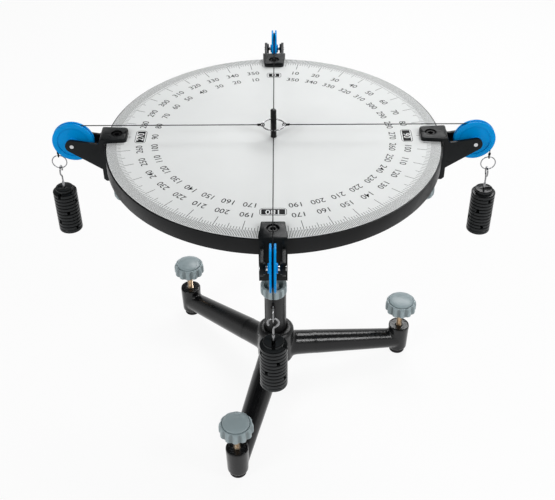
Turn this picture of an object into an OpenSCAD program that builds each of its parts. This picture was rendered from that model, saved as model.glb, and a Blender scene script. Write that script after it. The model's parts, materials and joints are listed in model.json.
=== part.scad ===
// Force table for vector experiments: a round graduated table on a tripod stand.
// Four clamps on its rim carry pulleys, and a string runs over each pulley from the
// centre ring to a hanger of slotted masses. Millimetres, +Z up, origin on the floor
// under the column. Dial 0 is at +Y (back), 90 at +X (right).

/* [Table] */
// Diameter of the round board
table_d = 400; // [340:5:460]
// Thickness of the board under the dial
board_t = 19.5; // [18:0.5:26]
// Thickness of the printed dial sheet
dial_t = 1; // [0.5:0.1:2]
// Width of the bare black edge round the dial sheet
dial_margin = 2; // [0.3:0.1:3]
// Height of the dial's face above the floor
dial_h = 402; // [370:1:460]

/* [Centre pin and ring] */
// Diameter of the centre pin
pin_d = 7; // [5:0.5:9]
// Height that the pin stands above the dial
pin_up = 37; // [25:1:50]
// Depth of the pin's seat below the dial's face
pin_depth = 15; // [10:0.5:16]
// Wall of the bush that holds the pin
bush_wall = 2.5; // [1.5:0.5:4]
// Diameter of the centre ring, to the middle of its wire
ring_d = 26; // [20:1:40]
// Diameter of the centre ring's wire
ring_wire = 1.8; // [1.2:0.1:3]

/* [Column and flange] */
// Outside diameter of the column tube
column_d = 30; // [22:0.5:36]
// Wall of the column tube
column_wall = 2.5; // [1.5:0.5:5]
// Diameter of the flange under the board
flange_d = 120; // [96:1:160]
// Thickness of the flange plate
flange_t = 8; // [5:0.5:12]
// Wall of the flange's socket round the column
socket_wall = 8; // [6:0.5:12]
// Length of the socket below the flange plate
socket_l = 24; // [16:1:40]
// Diameter of the screws that hold the flange
flange_screw_d = 5; // [3:0.5:7]
// Depth of the flange screws in the board
flange_screw_in = 13; // [8:0.5:15]
// Diameter of the set screws that lock the column
set_screw_d = 6; // [4:0.5:8]

/* [Tripod base] */
// Wall of the hub round the column
hub_wall = 10.5; // [7:0.25:14]
// Height of the hub's top above the floor
hub_top = 92; // [74:1:110]
// Height of the hub's underside above the floor
hub_bottom = 38; // [26:1:40]
// Thickness of the floor inside the hub
hub_floor = 8; // [4:0.5:14]
// Chamfer round the hub's top
hub_chamfer = 4; // [1:0.5:6]
// Radius of the circle on which the feet stand
foot_r = 187; // [150:1:240]
// Turn of the first leg from +X, in degrees
leg_turn = 14.7; // [0:0.1:60]
// Leg diameter at the column's axis
leg_d_hub = 37.5; // [28:0.5:42]
// Leg diameter at the boss
leg_d_foot = 28; // [16:0.5:30]
// Height of the leg's axis at the column
leg_h_hub = 58; // [50:1:64]
// Height of the leg's axis at the boss
leg_h_foot = 22; // [19:0.5:28]
// Diameter of the boss at its top
boss_d_top = 30; // [26:0.5:36]
// Diameter of the boss at its lower end
boss_d_low = 27.5; // [23:0.5:30]
// Height of the boss's top above the floor
boss_top = 49.5; // [42:0.5:60]

/* [Levelling screws] */
// Diameter of the levelling screws
level_screw_d = 8; // [6:0.5:10]
// Travel of the levelling screws
level_travel = 20; // [10:1:30]
// Diameter of the foot pads
pad_d = 22; // [16:0.5:30]
// Height of the foot pads
pad_h = 6; // [5:0.5:9]
// Gap between a foot pad and its boss, screwed right up
pad_gap = 0.8; // [0.4:0.1:2]
// Largest diameter of the levelling knobs
level_knob_d = 44; // [38:0.5:50]
// Diameter of the levelling knobs' smooth cap
level_knob_cap_d = 36; // [30:0.5:38]
// Height of the levelling knobs
level_knob_h = 19; // [16:0.5:26]
// Diameter of the flutes in the levelling knobs
level_flute_d = 8; // [6:0.5:10]

/* [Clamps] */
// Width of the clamp frames
clamp_w = 30; // [29:0.5:40]
// Width of the upper jaw at its inner end
jaw_end_w = 26; // [18:0.5:28]
// Reach of the jaws in from the table's edge
jaw_reach = 25.5; // [24:0.5:40]
// Thickness of the upper jaw
jaw_t = 5; // [4.5:0.5:12]
// Radius of the upper jaw's corners
jaw_corner = 4.5; // [1:0.5:6]
// Thickness of the plate outside the table's edge
plate_t = 5; // [4:0.5:10]
// Thickness of the lower jaw
low_jaw_t = 10; // [6:0.5:14]
// Diameter of the round pocket in the upper jaw
pocket_d = 14; // [13:0.5:17]
// Depth of the pocket
pocket_depth = 2.5; // [1.5:0.5:3.5]
// Outside diameter of the sight ring in the pocket
sight_ring_d = 10; // [8.5:0.5:12]
// Diameter of the sight hole, down to the dial
sight_d = 6.5; // [5:0.5:7.5]
// Distance of the clamp screw in from the table's edge
screw_in = 15; // [14:0.5:16]
// Diameter of the clamp screws
clamp_screw_d = 6; // [5:0.5:8]
// Travel of the clamp screws
clamp_travel = 10; // [5:0.5:14]
// Diameter of the pressure pads
clamp_pad_d = 14; // [9:0.5:18]
// Thickness of the pressure pads
clamp_pad_t = 4; // [3.5:0.5:6]
// Largest diameter of the clamp knobs
clamp_knob_d = 29.5; // [26:0.5:34]
// Diameter of the clamp knobs' smooth cap
clamp_knob_cap_d = 24; // [21:0.5:25]
// Height of the clamp knobs
clamp_knob_h = 16; // [12:0.5:20]
// Diameter of the flutes in the clamp knobs
clamp_flute_d = 5; // [3.5:0.5:6]
// Bare screw between the lower jaw and the knob
clamp_knob_drop = 20.5; // [12:0.5:24]

/* [Fork and pulleys] */
// Thickness of the fork arms
arm_t = 3.5; // [2.5:0.5:4.5]
// Gap between the fork arms
arm_gap = 19; // [14:0.5:20]
// Radius of the fork arms' tips
arm_tip_r = 8; // [6:0.5:11]
// Depth of the fork arms' upper edge below the dial, at the plate
arm_root_top = 3.5; // [2:0.5:10]
// Height of the fork arms at the plate
arm_root_h = 36; // [24:0.5:38]
// Diameter of the pulleys
pulley_d = 50; // [40:1:60]
// Width of the pulley rims
pulley_w = 7; // [6:0.5:10]
// Depth of the string groove
groove_depth = 4.6; // [2:0.1:5]
// Width of the string groove at the rim
groove_w = 2.6; // [2.4:0.1:4]
// Depth of the hollow in each face of a pulley
web_recess = 1.2; // [0.5:0.1:2]
// Width of the pulley rim's flat side
rim_side = 6; // [4.6:0.1:7]
// Diameter of the pulley hubs
pulley_hub_d = 11; // [9:0.5:18]
// Width of the pulley hubs
pulley_hub_w = 10.5; // [10.5:0.5:13]
// Diameter of the axles
axle_d = 5; // [3:0.5:6]
// Gap between a pulley and the clamp's plate
pulley_gap = 8.5; // [4:0.5:14]

/* [Strings and link rings] */
// Height of the strings above the dial
string_h = 16; // [14:0.5:24]
// Diameter of the strings
string_d = 1.2; // [0.6:0.1:1.4]
// Diameter of the knots
knot_d = 3; // [2.4:0.1:4]
// Diameter of the link rings, to the middle of the wire
link_d = 17.6; // [14:0.2:24]
// Diameter of the link rings' wire
link_wire = 1.3; // [1:0.1:2]
// Fall of the back string, from axle to link ring
fall_back = 26; // [20:0.5:60]
// Fall of the right string
fall_right = 25.5; // [20:0.5:60]
// Fall of the front string
fall_front = 33; // [20:0.5:60]
// Fall of the left string
fall_left = 20.5; // [20:0.5:60]

/* [Hangers and masses] */
// Diameter of the hook, to the middle of its wire
hook_d = 11.5; // [8:0.5:14]
// Diameter of the hook's wire
hook_wire = 2; // [1.4:0.1:2.4]
// Length of straight wire between the hook and the rod
hook_shank = 6.5; // [6:0.5:20]
// Diameter of the hanger rod
rod_d = 3; // [2.6:0.1:4]
// Height of the rod above the topmost mass
rod_up = 8; // [4:0.5:14]
// Diameter of the slotted masses
mass_d = 29.5; // [24:0.5:40]
// Diameter of the small mass on top
small_mass_d = 22; // [14:0.5:24]
// Thickness of each mass
mass_t = 4.8; // [3:0.1:8]
// Number of large slotted masses on each hanger
mass_count = 11; // [4:1:11]
// Chamfer round each mass
mass_chamfer = 0.7; // [0.2:0.1:1]

/* [Clearances] */
// Radial clearance of a screw, pin or axle in its hole
running_gap = 0.05; // [0.02:0.01:0.1]
// Gap between pieces that seat on each other
seat_gap = 0.05; // [0.02:0.01:0.1]
// Gap between pieces that move past each other
loose_gap = 0.3; // [0.2:0.05:0.4]
// Gap between a string's loop and the wire inside it
loop_gap = 0.6; // [0.5:0.05:0.9]

/* [Hidden] */
$fn = 96;
cut = 1;                        // how far a cut runs past the face it opens

sides = ["back", "right", "front", "left"];
side_turns = [90, 0, -90, 180];
falls = [fall_back, fall_right, fall_front, fall_left];
legs = [1, 2, 3];

// table and stand
table_r = table_d / 2;
table_t = board_t + dial_t;
board_under = dial_h - table_t;
flange_under = board_under - flange_t;
bush_d = pin_d + 2 * bush_wall;
bush_floor = 2;
pin_seat = dial_h - pin_depth;
socket_under = flange_under - socket_l;
column_top = flange_under - seat_gap;
hub_d = column_d + 2 * hub_wall;
column_foot = hub_bottom + hub_floor;
flange_screw_count = 4;
flange_screw_r = (flange_d + column_d + 2 * socket_wall) / 4;
screw_head_extra = 4;           // head diameter beyond the shank's
screw_head_t = 3;
set_screw_h = hub_top - hub_chamfer - set_screw_d;
socket_screw_h = socket_under + socket_l / 2;
set_screw_turn = leg_turn + 180;

// levelling screws
boss_bottom = pad_h + pad_gap;
knob_spare = 10.5;              // room left under a levelling knob screwed right down
level_rim = boss_top + level_travel + knob_spare;
tip_step = 2;                   // how much smaller a screw's tip is than its thread
tip_floor = 1.5;                // solid left above or below a screw's tip
knob_wall = 2.2;
knob_hub_wall = 2.5;
knob_skirt_lip = 0.6;           // how far the skirt's top stands out past the cap
knob_cap_t = 1.5;
knob_dome = 2.5;
knob_root = 0.445;              // radius at the foot of a knob's flutes, over its diameter
knob_side = 0.6;                // how much of a knob's skirt is upright
knob_foot = 0.8;                // chamfer round a knob's open rim
knob_top_t = 2.5;
flutes = 12;

// clamps, measured from the dial's face
edge_gap = 1.5;
plate_in = table_r + edge_gap;
plate_out = plate_in + plate_t;
throat_spare = 8.4;             // room left under a pressure pad screwed right down
throat = clamp_pad_t + clamp_travel + throat_spare;
low_jaw_top = -table_t - throat;
low_jaw_under = low_jaw_top - low_jaw_t;
jaw_in = table_r - jaw_reach;
jaw_chamfer = 1.5;
frame_corner = 3;               // chamfer at the frame's lower outer corner
arm_fillet = 7;                 // hollow corner between an arm and the plate
pocket_x = table_r - screw_in + 2;
fork_boss = max(0, (arm_gap - pulley_hub_w) / 2 - 2.2);     // height of the bosses inside the fork
index_w = 0.6;
index_depth = 0.5;
sight_drop = 1;                 // how far the sight ring stays below the jaw's top
clamp_screw_x = table_r - screw_in;
clamp_pad_top = -table_t - seat_gap;
clamp_pad_under = clamp_pad_top - clamp_pad_t;
clamp_rim = low_jaw_under - clamp_knob_drop;

// pulleys and strings
groove_r = pulley_d / 2 - groove_depth;
groove_floor_w = groove_w - 0.6;
wrap_r = groove_r + loose_gap + string_d / 2;
axle_x = plate_out + pulley_gap + pulley_d / 2;
axle_z = string_h - wrap_r;
axle_out = 0.6;                 // how far each end of an axle stands out of the fork
hang_x = axle_x + wrap_r;
ring_loop_r = ring_wire / 2 + loop_gap + string_d / 2;
link_loop_r = link_wire / 2 + loop_gap + string_d / 2;
knot_off = knot_d / 3;          // from a loop's edge to the middle of its knot

// hangers, measured down from the middle of the link ring's wire at its top
hook_crown = -link_d + link_wire / 2 + loose_gap + hook_wire / 2;
hook_mid = hook_crown - hook_d / 2;
hook_lean = 60;                 // how far the hook's wire leans where its two bends meet
hook_end = 215;                 // where the hook's wire ends, from the horizontal
hook_foot = hook_mid - hook_d * sin(hook_lean);
rod_top = hook_foot - hook_shank;
stack_top = rod_top - rod_up;
mass_step = mass_t + seat_gap;
stack_under = stack_top - mass_step * (mass_count + 1) - mass_t;
slot_w = rod_d + 2 * loose_gap;
slot_turn = 137.5;
weld = 0.3;                     // how much fatter the joints between the hook's bends are

// point where a line from p touches the circle of radius r about c, on its left or right
function touch(p, c, r, left) =
    let (d = c - p, a = atan2(d[1], d[0]), b = acos(r / norm(d)))
    c + r * [cos(a + 180 - left * b), sin(a + 180 - left * b)];

module at_leg(n) {
    rotate([0, 0, leg_turn + 120 * (n - 1)]) translate([foot_r, 0, 0]) children();
}

module at_side(i) {
    rotate([0, 0, side_turns[i]]) translate([0, 0, dial_h]) children();
}

// puts a hanging piece under the outer side of pulley i
module at_link(i) {
    at_side(i) translate([hang_x, 0, axle_z - falls[i]]) children();
}

// round bar of wire bent to a circle, or to part of one
module wire_ring(d, wire, from = 0, turn = 360) {
    rotate([0, 0, from]) rotate_extrude(angle = turn) translate([d / 2, 0]) circle(d = wire, $fn = $fn / 2);
}

// fluted knob with its open rim at z = 0 and its domed cap up
module knob(d, cap_d, h, screw_d, flute_d) {
    skirt_h = h - knob_cap_t - knob_dome;
    side_h = skirt_h * knob_side;
    flute_root = knob_root * d;
    dome_r = (pow(cap_d / 2, 2) + pow(knob_dome, 2)) / (2 * knob_dome);
    difference() {
        union() {
            difference() {
                rotate_extrude() polygon([[0, 0], [d / 2 - knob_foot, 0], [d / 2, 2 * knob_foot], [d / 2, side_h],
                    [cap_d * 0.15 + d * 0.35, side_h + (skirt_h - side_h) * 0.7],
                    [cap_d / 2 + knob_skirt_lip, skirt_h], [0, skirt_h]]);
                for (k = [0 : flutes - 1])
                    rotate([0, 0, k * 360 / flutes]) translate([flute_root + flute_d / 2, 0, -cut])
                        cylinder(h = skirt_h + 2 * cut, d = flute_d);
            }
            translate([0, 0, skirt_h - knob_top_t / 2]) cylinder(h = knob_cap_t + knob_top_t / 2, d = cap_d);
            intersection() {
                translate([0, 0, h - dome_r]) sphere(r = dome_r);
                translate([0, 0, skirt_h]) cylinder(h = h, d = cap_d);
            }
        }
        difference() {
            translate([0, 0, -cut]) cylinder(h = cut + h - knob_dome - knob_top_t, r = flute_root - knob_wall);
            translate([0, 0, -2 * cut]) cylinder(h = h, d = screw_d + 2 * knob_hub_wall);
        }
        translate([0, 0, -cut])
            cylinder(h = cut + h - knob_dome - knob_top_t, d = screw_d + 2 * running_gap);
    }
}

// slotted disc with chamfered edges, its underside at z = 0
module slotted_mass(d) {
    difference() {
        chamfered_disc(d);
        translate([0, 0, -cut]) cylinder(h = mass_t + 2 * cut, d = slot_w);
        translate([0, -slot_w / 2, -cut]) cube([d, slot_w, mass_t + 2 * cut]);
    }
}

module chamfered_disc(d) {
    rotate_extrude() polygon([[0, 0], [d / 2 - mass_chamfer, 0], [d / 2, mass_chamfer],
        [d / 2, mass_t - mass_chamfer], [d / 2 - mass_chamfer, mass_t], [0, mass_t]]);
}

module tripod_base() {
    color("#1c1d1f") difference() {
        union() {
            rotate_extrude() polygon([[0, hub_bottom], [hub_d / 2, hub_bottom],
                [hub_d / 2, hub_top - hub_chamfer], [hub_d / 2 - hub_chamfer, hub_top], [0, hub_top]]);
            for (n = legs) {
                rotate([0, 0, leg_turn + 120 * (n - 1)]) leg_bar();
                at_leg(n) translate([0, 0, boss_bottom])
                    cylinder(h = boss_top - boss_bottom, d1 = boss_d_low, d2 = boss_d_top);
            }
        }
        translate([0, 0, column_foot]) cylinder(h = hub_top, d = column_d + 2 * running_gap);
        for (n = legs) at_leg(n) cylinder(h = boss_top + cut, d = level_screw_d + 2 * running_gap);
        rotate([0, 0, set_screw_turn]) translate([0, 0, set_screw_h]) rotate([0, 90, 0])
            cylinder(h = hub_d, d = set_screw_d + 2 * running_gap);
    }
}

// tapered round bar from the column's axis down to the first boss
module leg_bar() {
    drop = leg_h_hub - leg_h_foot;
    translate([0, 0, leg_h_hub]) rotate([0, 90 + atan2(drop, foot_r), 0])
        cylinder(h = norm([drop, foot_r]), d1 = leg_d_hub, d2 = leg_d_foot);
}

module column() {
    color("#202124") translate([0, 0, column_foot + seat_gap]) difference() {
        cylinder(h = column_top - column_foot - seat_gap, d = column_d);
        translate([0, 0, -cut]) cylinder(h = dial_h, d = column_d - 2 * column_wall);
    }
}

module table_flange() {
    color("#1c1d1f") difference() {
        union() {
            translate([0, 0, flange_under]) cylinder(h = flange_t, d = flange_d);
            translate([0, 0, socket_under]) cylinder(h = socket_l, d = column_d + 2 * socket_wall);
        }
        translate([0, 0, socket_under - cut])
            cylinder(h = socket_l + cut, d = column_d + 2 * running_gap);
        for_flange_screws() translate([0, 0, flange_under - cut])
            cylinder(h = flange_t + 2 * cut, d = flange_screw_d + 2 * running_gap);
        rotate([0, 0, set_screw_turn]) translate([0, 0, socket_screw_h]) rotate([0, 90, 0])
            cylinder(h = flange_d, d = set_screw_d + 2 * running_gap);
    }
}

module for_flange_screws() {
    for (k = [0 : flange_screw_count - 1])
        rotate([0, 0, leg_turn + k * 360 / flange_screw_count]) translate([flange_screw_r, 0, 0]) children();
}

module flange_screws() {
    color("silver") for_flange_screws() {
        translate([0, 0, flange_under - seat_gap - screw_head_t])
            cylinder(h = screw_head_t, d = flange_screw_d + screw_head_extra);
        translate([0, 0, flange_under - seat_gap - screw_head_t / 2])
            cylinder(h = seat_gap + screw_head_t / 2 + flange_t + flange_screw_in, d = flange_screw_d);
    }
}

module set_screws() {
    color("silver") {
        set_screw(set_screw_h, hub_wall);
        set_screw(socket_screw_h, socket_wall);
    }
}

module set_screw(h, wall) {
    rotate([0, 0, set_screw_turn]) translate([column_d / 2 + seat_gap, 0, h]) rotate([0, 90, 0])
        cylinder(h = wall - seat_gap, d = set_screw_d);
}

module table_board() {
    color("#232427") difference() {
        translate([0, 0, board_under]) cylinder(h = board_t, d = table_d);
        translate([0, 0, pin_seat - bush_floor - seat_gap])
            cylinder(h = board_t, d = bush_d + 2 * running_gap);
        for_flange_screws() translate([0, 0, board_under - cut])
            cylinder(h = cut + flange_screw_in + seat_gap, d = flange_screw_d + 2 * running_gap);
    }
}

module dial_sheet() {
    color("#e3e6e7") difference() {
        translate([0, 0, dial_h - dial_t]) cylinder(h = dial_t, d = table_d - 2 * dial_margin);
        translate([0, 0, dial_h - dial_t - cut]) cylinder(h = dial_t + 2 * cut, d = pin_d + 2 * loose_gap);
    }
}

module pin_bush() {
    color("#b58a4a") translate([0, 0, pin_seat - bush_floor]) difference() {
        cylinder(h = bush_floor + pin_depth - dial_t - seat_gap, d = bush_d);
        translate([0, 0, bush_floor]) cylinder(h = pin_depth, d = pin_d + 2 * running_gap);
    }
}

module centre_pin() {
    color("#1a1a1c") {
        translate([0, 0, pin_seat + seat_gap]) cylinder(h = pin_depth + pin_up - pin_d / 2, d = pin_d);
        intersection() {
            translate([0, 0, dial_h + pin_up - pin_d / 2]) sphere(d = pin_d + 2 * seat_gap);
            translate([0, 0, dial_h]) cylinder(h = pin_up, d = pin_d);
        }
    }
}

module centre_ring() {
    color("silver") translate([0, 0, dial_h + string_h]) wire_ring(ring_d, ring_wire);
}

module level_screw(n) {
    color("#b07a4c") at_leg(n) {
        translate([0, 0, tip_floor]) cylinder(h = pad_h, d = level_screw_d - tip_step);
        translate([0, 0, pad_h + seat_gap])
            cylinder(h = level_rim + level_knob_h - knob_dome - knob_top_t - tip_floor - pad_h - seat_gap,
                d = level_screw_d);
    }
}

module level_knob(n) {
    color("#8a979c") at_leg(n) translate([0, 0, level_rim])
        knob(level_knob_d, level_knob_cap_d, level_knob_h, level_screw_d, level_flute_d);
}

module foot_pad(n) {
    color("#161617") at_leg(n) difference() {
        cylinder(h = pad_h, d = pad_d);
        translate([0, 0, tip_floor - seat_gap])
            cylinder(h = pad_h, d = level_screw_d - tip_step + 2 * running_gap);
    }
}

// moulded C frame that grips the board's edge, with a fork for the pulley
module clamp_frame() {
    color("#242629") difference() {
        union() {
            intersection() {
                rotate([90, 0, 0]) linear_extrude(clamp_w, center = true) frame_outline();
                translate([0, 0, low_jaw_under]) linear_extrude(jaw_t - low_jaw_under) frame_plan();
            }
            for (s = [-1, 1]) {
                translate([0, s * (arm_gap + arm_t) / 2, 0])
                    rotate([90, 0, 0]) linear_extrude(arm_t, center = true) arm_outline();
                if (fork_boss > 0.2) translate([axle_x, s * (arm_gap - fork_boss + cut) / 2, axle_z])
                    rotate([90, 0, 0]) cylinder(h = fork_boss + cut, r = arm_tip_r - 1.5, center = true);
            }
        }
        translate([axle_x, 0, axle_z]) rotate([90, 0, 0])
            cylinder(h = clamp_w + 2 * arm_t, d = axle_d + 2 * running_gap, center = true);
        translate([clamp_screw_x, 0, low_jaw_under - cut])
            cylinder(h = low_jaw_t + 2 * cut, d = clamp_screw_d + 2 * running_gap);
        translate([pocket_x, 0, 0]) sight_pocket();
        translate([jaw_in - cut, -index_w / 2, jaw_t - index_depth])
            cube([plate_in - jaw_in, index_w, index_depth + cut]);
    }
}

module frame_outline() {
    polygon([[jaw_in, 0], [plate_in, 0], [plate_in, low_jaw_top], [jaw_in, low_jaw_top],
        [jaw_in, low_jaw_under], [plate_out - frame_corner, low_jaw_under],
        [plate_out, low_jaw_under + frame_corner], [plate_out, jaw_t - jaw_chamfer],
        [plate_out - jaw_chamfer, jaw_t], [jaw_in + jaw_chamfer, jaw_t], [jaw_in, jaw_t - jaw_chamfer]]);
}

module frame_plan() {
    end_y = jaw_end_w / 2 - jaw_corner;
    polygon([[jaw_in, -end_y], [jaw_in + jaw_corner, -jaw_end_w / 2], [plate_in, -clamp_w / 2],
        [plate_out, -clamp_w / 2], [plate_out, clamp_w / 2], [plate_in, clamp_w / 2],
        [jaw_in + jaw_corner, jaw_end_w / 2], [jaw_in, end_y]]);
    for (s = [-1, 1]) translate([jaw_in + jaw_corner, s * end_y]) circle(r = jaw_corner);
}

module arm_outline() {
    tip = [axle_x, axle_z];
    upper = [plate_in + plate_t / 2, -arm_root_top];
    lower = [plate_in + plate_t / 2, -arm_root_top - arm_root_h];
    polygon([lower, touch(lower, tip, arm_tip_r, -1), touch(upper, tip, arm_tip_r, 1), upper]);
    translate(tip) circle(r = arm_tip_r);
    difference() {
        translate([plate_in + plate_t / 2, jaw_t - jaw_chamfer - arm_fillet])
            square([plate_t / 2 + arm_fillet, arm_fillet]);
        translate([plate_out + arm_fillet, jaw_t - jaw_chamfer]) circle(r = arm_fillet);
    }
}

// what is cut from the upper jaw to read the dial: a pocket with a ring round the sight hole
module sight_pocket() {
    difference() {
        translate([0, 0, jaw_t - pocket_depth]) cylinder(h = pocket_depth + cut, d = pocket_d);
        cylinder(h = jaw_t - sight_drop, d = sight_ring_d);
    }
    translate([0, 0, -cut]) cylinder(h = jaw_t + 2 * cut, d = sight_d);
}

module axle() {
    color("#d5d8da") translate([axle_x, 0, axle_z]) rotate([90, 0, 0])
        cylinder(h = arm_gap + 2 * arm_t + 2 * axle_out, d = axle_d, center = true);
}

module pulley() {
    web = pulley_w / 2 - web_recess;
    rim_in = pulley_d / 2 - rim_side;
    bore = axle_d / 2 + running_gap;
    half = [[bore, pulley_hub_w / 2], [pulley_hub_d / 2, pulley_hub_w / 2], [pulley_hub_d / 2, web],
        [rim_in, web], [rim_in, pulley_w / 2], [pulley_d / 2, pulley_w / 2],
        [pulley_d / 2, groove_w / 2], [groove_r, groove_floor_w / 2]];
    other = [for (k = [len(half) - 1 : -1 : 0]) [half[k][0], -half[k][1]]];
    color("#1585d8") translate([axle_x, 0, axle_z]) rotate([90, 0, 0])
        rotate_extrude() polygon(concat(half, other));
}

module clamp_pad() {
    color("#2a2b2d") translate([clamp_screw_x, 0, clamp_pad_under]) difference() {
        cylinder(h = clamp_pad_t, d = clamp_pad_d);
        translate([0, 0, -cut])
            cylinder(h = cut + clamp_pad_t - tip_floor, d = clamp_screw_d - tip_step + 2 * running_gap);
    }
}

module clamp_screw() {
    color("#b07a4c") translate([clamp_screw_x, 0, 0]) {
        translate([0, 0, clamp_pad_under - cut])
            cylinder(h = cut + clamp_pad_t - tip_floor - seat_gap, d = clamp_screw_d - tip_step);
        screw_foot = clamp_rim - clamp_knob_h + knob_dome + knob_top_t + tip_floor;
        translate([0, 0, screw_foot])
            cylinder(h = clamp_pad_under - seat_gap - screw_foot, d = clamp_screw_d);
    }
}

module clamp_knob() {
    color("#9aa6ab") translate([clamp_screw_x, 0, clamp_rim]) rotate([180, 0, 0])
        knob(clamp_knob_d, clamp_knob_cap_d, clamp_knob_h, clamp_screw_d, clamp_flute_d);
}

// string from the centre ring over the pulley to the link ring
module string_run(i) {
    start_x = ring_d / 2 + ring_loop_r;
    fall_foot = axle_z - falls[i] + link_loop_r;
    color("#17181a") {
        translate([ring_d / 2, 0, string_h]) rotate([90, 0, 0]) wire_ring(2 * ring_loop_r, string_d);
        translate([start_x + knot_off, 0, string_h]) sphere(d = knot_d);
        translate([start_x, 0, string_h]) rotate([0, 90, 0]) cylinder(h = axle_x - start_x, d = string_d);
        translate([axle_x, 0, axle_z]) rotate([90, 0, 0])
            rotate_extrude(angle = 90) translate([wrap_r, 0]) circle(d = string_d);
        translate([hang_x, 0, fall_foot]) cylinder(h = axle_z - fall_foot, d = string_d);
        translate([hang_x, 0, fall_foot + knot_off]) sphere(d = knot_d);
        translate([hang_x, 0, axle_z - falls[i]]) rotate([0, 90, 0]) wire_ring(2 * link_loop_r, string_d);
    }
}

module link_ring() {
    color("silver") translate([0, 0, -link_d / 2]) rotate([90, 0, 0]) wire_ring(link_d, link_wire);
}

module hanger() {
    color("#c9cdd0") {
        translate([0, 0, hook_mid]) rotate([90, 0, 90])
            wire_ring(hook_d, hook_wire, -hook_lean, hook_end + hook_lean);
        translate([0, hook_d * cos(hook_lean), hook_foot]) rotate([90, 0, 90])
            wire_ring(hook_d, hook_wire, 180 - hook_lean, hook_lean);
        for (p = [[hook_d * cos(hook_lean) / 2, (hook_mid + hook_foot) / 2], [0, hook_foot]])
            translate([0, p[0], p[1]]) sphere(d = hook_wire + weld);
        translate([0, 0, rod_top - cut]) cylinder(h = cut + hook_shank, d = hook_wire);
        translate([0, 0, stack_under + mass_t / 2]) cylinder(h = rod_top - stack_under - mass_t / 2, d = rod_d);
    }
    color("#26282a") translate([0, 0, stack_under]) chamfered_disc(mass_d);
}

module masses() {
    color("#26282a") {
        for (k = [1 : mass_count])
            translate([0, 0, stack_under + k * mass_step]) rotate([0, 0, k * slot_turn]) slotted_mass(mass_d);
        translate([0, 0, stack_top - mass_t]) slotted_mass(small_mass_d);
    }
}

tripod_base();
column();
table_flange();
flange_screws();
set_screws();
table_board();
dial_sheet();
pin_bush();
centre_pin();
centre_ring();
for (n = legs) {
    level_screw(n);
    level_knob(n);
    foot_pad(n);
}
for (i = [0 : len(sides) - 1]) {
    at_side(i) clamp_frame();
    at_side(i) axle();
    at_side(i) pulley();
    at_side(i) clamp_pad();
    at_side(i) clamp_screw();
    at_side(i) clamp_knob();
    at_side(i) string_run(i);
    at_link(i) link_ring();
    at_link(i) hanger();
    at_link(i) masses();
}
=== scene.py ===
import json
import math

import bmesh
import bpy
from mathutils import Matrix, Vector

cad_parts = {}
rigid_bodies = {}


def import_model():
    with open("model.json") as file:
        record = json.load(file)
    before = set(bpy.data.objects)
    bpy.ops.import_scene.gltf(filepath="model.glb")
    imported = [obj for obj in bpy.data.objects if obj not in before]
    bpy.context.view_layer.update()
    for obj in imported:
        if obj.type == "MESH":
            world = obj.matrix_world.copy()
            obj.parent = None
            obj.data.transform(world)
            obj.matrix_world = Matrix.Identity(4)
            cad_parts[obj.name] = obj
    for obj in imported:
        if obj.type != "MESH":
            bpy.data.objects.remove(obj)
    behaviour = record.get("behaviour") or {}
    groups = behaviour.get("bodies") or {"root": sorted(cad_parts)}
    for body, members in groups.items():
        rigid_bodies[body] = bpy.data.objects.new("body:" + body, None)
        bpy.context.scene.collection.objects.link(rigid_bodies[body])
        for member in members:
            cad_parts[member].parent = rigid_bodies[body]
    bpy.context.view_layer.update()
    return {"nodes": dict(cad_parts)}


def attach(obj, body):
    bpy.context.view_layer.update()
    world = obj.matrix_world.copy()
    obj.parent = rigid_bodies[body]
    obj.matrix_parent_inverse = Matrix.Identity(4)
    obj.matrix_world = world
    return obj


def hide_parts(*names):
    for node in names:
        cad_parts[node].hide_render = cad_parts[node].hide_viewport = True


for item in list(bpy.data.objects):
    bpy.data.objects.remove(item)  # the start-up cube, lamp and camera
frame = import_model()
nodes = frame["nodes"]
scene = bpy.context.scene
scene.view_settings.view_transform = "Standard"
print("frame loaded,", len(nodes), "nodes")

# camera, in metres and degrees
camera = dict(place=(0.008474, -0.954052, 0.992541), turn=(51.2833, 0.3556, 0.0114), lens=60.464,
              sensor=36.0, clip=(0.01, 60.0))
cameraData = bpy.data.cameras.new("photoCamera")
cameraData.lens, cameraData.sensor_width = camera["lens"], camera["sensor"]
cameraData.clip_start, cameraData.clip_end = camera["clip"]
eye = bpy.data.objects.new("photoCamera", cameraData)
eye.location = camera["place"]
eye.rotation_euler = [math.radians(a) for a in camera["turn"]]
scene.collection.objects.link(eye)
scene.camera = eye

# places that several pieces share, in millimetres; a station's own x points away from the column
table = dict(dialTop=402.0, radius=200.0, boardT=19.5, sheetT=1.0, margin=2.0)
station = dict(axleX=240.0, axleZ=396.7, wrapR=21.3, hangX=261.3, screwX=185.0, pocketX=187.0)
turns = {"back": 90.0, "right": 0.0, "front": -90.0, "left": 180.0}
falls = {"back": 26.0, "right": 25.5, "front": 33.0, "left": 20.5}  # from the axle down to the link ring
legs = dict(radius=187.0, first=14.7)
fullTurn = math.tau


class Wire:
    # a socket that can be used in sums
    def __init__(self, graph, socket):
        self.graph, self.socket = graph, socket

    def beside(self, name):
        return Wire(self.graph, self.socket.node.outputs[name])  # another output of the same node

    def __add__(self, other):
        return self.graph.maths("ADD", self, other)

    def __sub__(self, other):
        return self.graph.maths("SUBTRACT", self, other)

    def __rsub__(self, other):
        return self.graph.maths("SUBTRACT", other, self)

    def __mul__(self, other):
        return self.graph.maths("MULTIPLY", self, other)

    def __lt__(self, other):
        return self.graph.maths("LESS_THAN", self, other)

    def __gt__(self, other):
        return self.graph.maths("GREATER_THAN", self, other)

    def __or__(self, other):
        return self.graph.maths("MAXIMUM", self, other)

    __radd__, __rmul__, __ror__ = __add__, __mul__, __or__


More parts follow.
